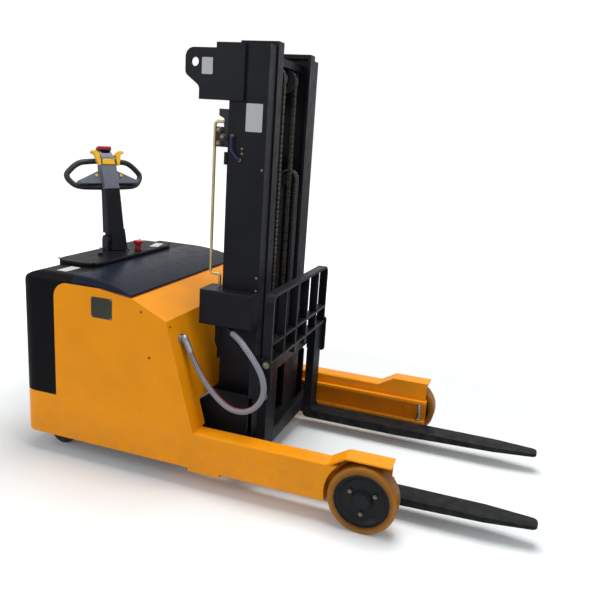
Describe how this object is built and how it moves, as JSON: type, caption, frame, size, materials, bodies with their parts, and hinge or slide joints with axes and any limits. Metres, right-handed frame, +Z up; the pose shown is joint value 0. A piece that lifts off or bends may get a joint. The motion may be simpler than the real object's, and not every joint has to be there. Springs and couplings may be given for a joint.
{
  "type": "pedestrian reach stacker",
  "caption": "Pedestrian reach stacker with a tiller, straddle legs, and a two stage mast that rolls forward along the legs and raises hook-on forks.",
  "frame": {"origin": "on the floor under the middle of the truck's box", "axes": "+X forward along the forks, +Y to the truck's left, +Z up"},
  "size_m": [2.2262, 1.032, 1.762],
  "materials": {
    "body_paint": "orange yellow gloss paint",
    "dark_cover": "blue black satin moulding",
    "black_paint": "black satin paint",
    "black_plastic": "black moulding",
    "head_grey": "grey fine textured moulding",
    "grip_rubber": "black soft grip",
    "signal_yellow": "yellow moulding",
    "signal_red": "red moulding",
    "tyre_urethane": "orange brown polyurethane",
    "tyre_black": "black rubber",
    "hub_black": "black hub with bright bolts",
    "steel": "machined steel",
    "chain_steel": "oiled dark chain",
    "rod_chrome": "hard chromed rod",
    "zinc_yellow": "yellow zinc plating",
    "valve_alloy": "dull alloy",
    "hose_grey": "grey braid cover with a thin red line",
    "hose_black": "black ribbed hose",
    "battery_case": "plain battery case",
    "hidden_metal": "plain dark paint"
  },
  "bodies": {
    "chassis": {"body_shell": "body_paint", "left_leg": "body_paint", "right_leg": "body_paint", "leg_hardware": "steel", "rear_cover": "dark_cover", "hood": "dark_cover", "console": "dark_cover", "inner_frame": "hidden_metal", "battery": "battery_case", "power_unit": "hidden_metal", "reach_barrels": "hidden_metal", "console_switches": "black_plastic", "hose_elbow": "zinc_yellow", "reach_hose": "hose_grey"},
    "left_load_wheel": {"left_load_tyre": "tyre_urethane", "left_load_hub": "hub_black"},
    "right_load_wheel": {"right_load_tyre": "tyre_urethane", "right_load_hub": "hub_black"},
    "steering": {"drive_unit": "hidden_metal", "tiller_base": "black_paint"},
    "traction_wheel": {"drive_wheel": "tyre_black"},
    "left_caster": {"left_caster_fork": "hidden_metal"},
    "right_caster": {"right_caster_fork": "hidden_metal"},
    "left_caster_roll": {"left_caster_wheel": "tyre_black"},
    "right_caster_roll": {"right_caster_wheel": "tyre_black"},
    "tiller": {"tiller_arm": "black_plastic", "tiller_head": "head_grey", "tiller_grips": "grip_rubber"},
    "throttle": {"throttle_wings": "signal_yellow"},
    "belly": {"belly_button": "signal_red"},
    "horn": {"horn_button": "signal_yellow"},
    "lift_press": {"lift_button": "signal_yellow"},
    "lower_press": {"lower_button": "signal_yellow"},
    "estop": {"estop_button": "signal_red"},
    "ignition_key": {"key": "steel"},
    "outer_mast": {"reach_carriage": "black_paint", "reach_rollers": "steel", "reach_rods": "rod_chrome", "outer_rails": "black_paint", "outer_ties": "black_paint", "outer_rollers": "steel", "lift_barrels": "black_paint", "hose_box": "black_paint", "supply_pipe": "zinc_yellow", "valve_block": "valve_alloy"},
    "inner_mast": {"inner_rails": "black_paint", "inner_crosshead": "black_paint", "inner_rollers": "steel", "lift_rods": "rod_chrome", "lift_chain_rear": "chain_steel", "mast_hoses_rear": "hose_black"},
    "pulleys": {"chain_pulleys": "steel"},
    "lift_carriage": {"fork_carriage": "black_paint", "carriage_rollers": "steel", "backrest": "black_paint", "lift_chain_front": "chain_steel", "mast_hoses_front": "hose_black"},
    "left_fork_arm": {"left_fork": "black_paint"},
    "right_fork_arm": {"right_fork": "black_paint"}
  },
  "joints": [
    {"name": "mast_reach", "type": "slide", "parent": "chassis", "child": "outer_mast", "axis": [1, 0, 0], "range_m": [0, 0.5], "deforming": ["reach_hose"]},
    {"name": "inner_lift", "type": "slide", "parent": "outer_mast", "child": "inner_mast", "axis": [0, 0, 1], "range_m": [0, 1.05], "deforming": ["lift_chain_rear", "mast_hoses_rear"]},
    {"name": "carriage_lift", "type": "slide", "parent": "inner_mast", "child": "lift_carriage", "axis": [0, 0, 1], "range_m": [0, 1.05], "deforming": ["lift_chain_front", "mast_hoses_front"]},
    {"name": "chain_pulley_turn", "type": "hinge", "parent": "inner_mast", "child": "pulleys", "pos_m": [-0.11989, 0, 1.64], "axis": [0, 1, 0], "continuous": true},
    {"name": "left_fork_shift", "type": "slide", "parent": "lift_carriage", "child": "left_fork_arm", "axis": [0, 1, 0], "range_m": [-0.12, 0]},
    {"name": "right_fork_shift", "type": "slide", "parent": "lift_carriage", "child": "right_fork_arm", "axis": [0, 1, 0], "range_m": [0, 0.12]},
    {"name": "left_load_wheel_spin", "type": "hinge", "parent": "chassis", "child": "left_load_wheel", "pos_m": [0.48711, 0.478, 0.1335], "axis": [0, 1, 0], "continuous": true},
    {"name": "right_load_wheel_spin", "type": "hinge", "parent": "chassis", "child": "right_load_wheel", "pos_m": [0.48711, -0.478, 0.1335], "axis": [0, 1, 0], "continuous": true},
    {"name": "drive_steer", "type": "hinge", "parent": "chassis", "child": "steering", "pos_m": [-0.92989, 0, 0.3], "axis": [0, 0, 1], "range_deg": [-62, 118]},
    {"name": "traction_wheel_spin", "type": "hinge", "parent": "steering", "child": "traction_wheel", "pos_m": [-0.92989, 0, 0.11], "axis": [0.4695, 0.8829, 0], "continuous": true},
    {"name": "left_caster_swivel", "type": "hinge", "parent": "chassis", "child": "left_caster", "pos_m": [-0.89289, 0.385, 0.172], "axis": [0, 0, 1], "continuous": true},
    {"name": "right_caster_swivel", "type": "hinge", "parent": "chassis", "child": "right_caster", "pos_m": [-0.89289, -0.385, 0.172], "axis": [0, 0, 1], "continuous": true},
    {"name": "left_caster_spin", "type": "hinge", "parent": "left_caster", "child": "left_caster_roll", "pos_m": [-0.92789, 0.385, 0.0625], "axis": [0, 1, 0], "continuous": true},
    {"name": "right_caster_spin", "type": "hinge", "parent": "right_caster", "child": "right_caster_roll", "pos_m": [-0.92789, -0.385, 0.0625], "axis": [0, 1, 0], "continuous": true},
    {"name": "tiller_tilt", "type": "hinge", "parent": "steering", "child": "tiller", "pos_m": [-0.92989, 0, 0.88], "axis": [-0.4695, -0.8829, 0], "range_deg": [0, 70], "stiffness_Nm_per_rad": 60, "springref_deg": -34.38},
    {"name": "throttle_turn", "type": "hinge", "parent": "tiller", "child": "throttle", "pos_m": [-1.00186, 0.03827, 1.26912], "axis": [0.4695, 0.8829, 0], "range_deg": [-15, 15], "stiffness_Nm_per_rad": 1.5},
    {"name": "belly_press", "type": "slide", "parent": "tiller", "child": "belly", "axis": [0.2728, -0.1451, -0.9511], "range_m": [0, 0.008], "stiffness_N_per_m": 600, "springref_m": -0.004},
    {"name": "horn_press", "type": "slide", "parent": "tiller", "child": "horn", "axis": [-0.8397, 0.4465, -0.309], "range_m": [0, 0.003], "stiffness_N_per_m": 800, "springref_m": -0.002},
    {"name": "lift_button_press", "type": "slide", "parent": "tiller", "child": "lift_press", "axis": [-0.8397, 0.4465, -0.309], "range_m": [0, 0.003], "stiffness_N_per_m": 800, "springref_m": -0.002},
    {"name": "lower_button_press", "type": "slide", "parent": "tiller", "child": "lower_press", "axis": [-0.8397, 0.4465, -0.309], "range_m": [0, 0.003], "stiffness_N_per_m": 800, "springref_m": -0.002},
    {"name": "estop_press", "type": "slide", "parent": "chassis", "child": "estop", "axis": [0, 0, -1], "range_m": [0, 0.006]},
    {"name": "key_turn", "type": "hinge", "parent": "chassis", "child": "ignition_key", "pos_m": [-0.90789, -0.14, 0.838], "axis": [0, 0, 1], "range_deg": [0, 90]}
  ],
  "couplings": [
    {"joint": "carriage_lift", "follows": "inner_lift", "ratio": 1},
    {"joint": "chain_pulley_turn", "follows": "inner_lift", "rad_per_m": -26.316}
  ]
}
